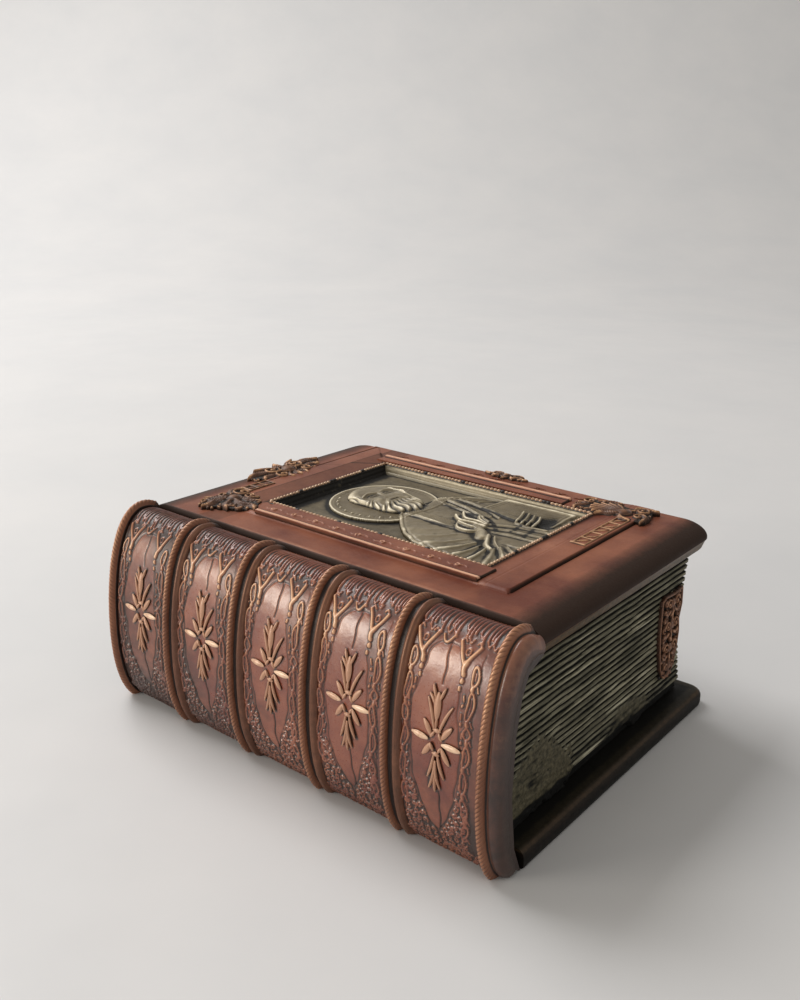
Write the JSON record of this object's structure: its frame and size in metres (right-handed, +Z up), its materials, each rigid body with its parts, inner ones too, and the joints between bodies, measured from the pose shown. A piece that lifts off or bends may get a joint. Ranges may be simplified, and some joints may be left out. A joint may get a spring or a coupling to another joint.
{
  "type": "book-shaped keepsake box",
  "caption": "Keepsake box in the form of an old bound book lying on its back cover: the front cover with a sunk relief picture lifts off a tray whose walls look like page edges.",
  "frame": {"origin": "on the surface it stands on, under the middle of the closed box's bounding box", "axes": "+X along the spine from the book's head to its tail, +Y from the spine to the fore-edge, +Z up"},
  "size_m": [0.153, 0.1262, 0.0658],
  "materials": {
    "cordovan_resin": "satin red-brown paint on cast resin, worn to copper on the edges",
    "copper_wash": "dry-brushed copper paint over dark brown",
    "bronze_wash": "olive bronze paint with pale dry-brushed ridges",
    "page_resin": "matt olive-grey paint with dark grooves",
    "dark_felt": "pressed felt",
    "wine_velvet": "short flock"
  },
  "bodies": {
    "box": {"back_cover": "cordovan_resin", "felt_base_pad": "dark_felt", "spine_shell": "cordovan_resin", "head_rim": "copper_wash", "tail_rim": "copper_wash", "raised_band_1": "copper_wash", "raised_band_2": "copper_wash", "raised_band_3": "copper_wash", "raised_band_4": "copper_wash", "spine_rosette_1": "copper_wash", "spine_rosette_2": "copper_wash", "spine_rosette_3": "copper_wash", "spine_rosette_4": "copper_wash", "spine_rosette_5": "copper_wash", "page_wall_tail": "page_resin", "page_wall_head": "page_resin", "page_wall_fore": "page_resin", "page_wall_spine": "page_resin", "floor_lining": "wine_velvet", "clasp_plate": "copper_wash"},
    "lid": {"lid_board": "cordovan_resin", "lid_locating_plug": "page_resin", "lid_lining": "wine_velvet", "frame_rail_spine": "cordovan_resin", "frame_rail_fore": "cordovan_resin", "bead_strip_spine": "copper_wash", "bead_strip_fore": "copper_wash", "bead_strip_head": "copper_wash", "bead_strip_tail": "copper_wash", "relief_plaque": "bronze_wash", "relief_figure": "bronze_wash", "relief_halo": "bronze_wash", "corner_mount_spine": "copper_wash", "side_mount_head": "copper_wash", "side_mount_fore": "copper_wash", "corner_mount_fore": "copper_wash"}
  },
  "joints": [
    {"name": "lid_lift", "type": "slide", "parent": "box", "child": "lid", "axis": [0, 0, 1], "range_m": [0, 0.04]}
  ]
}
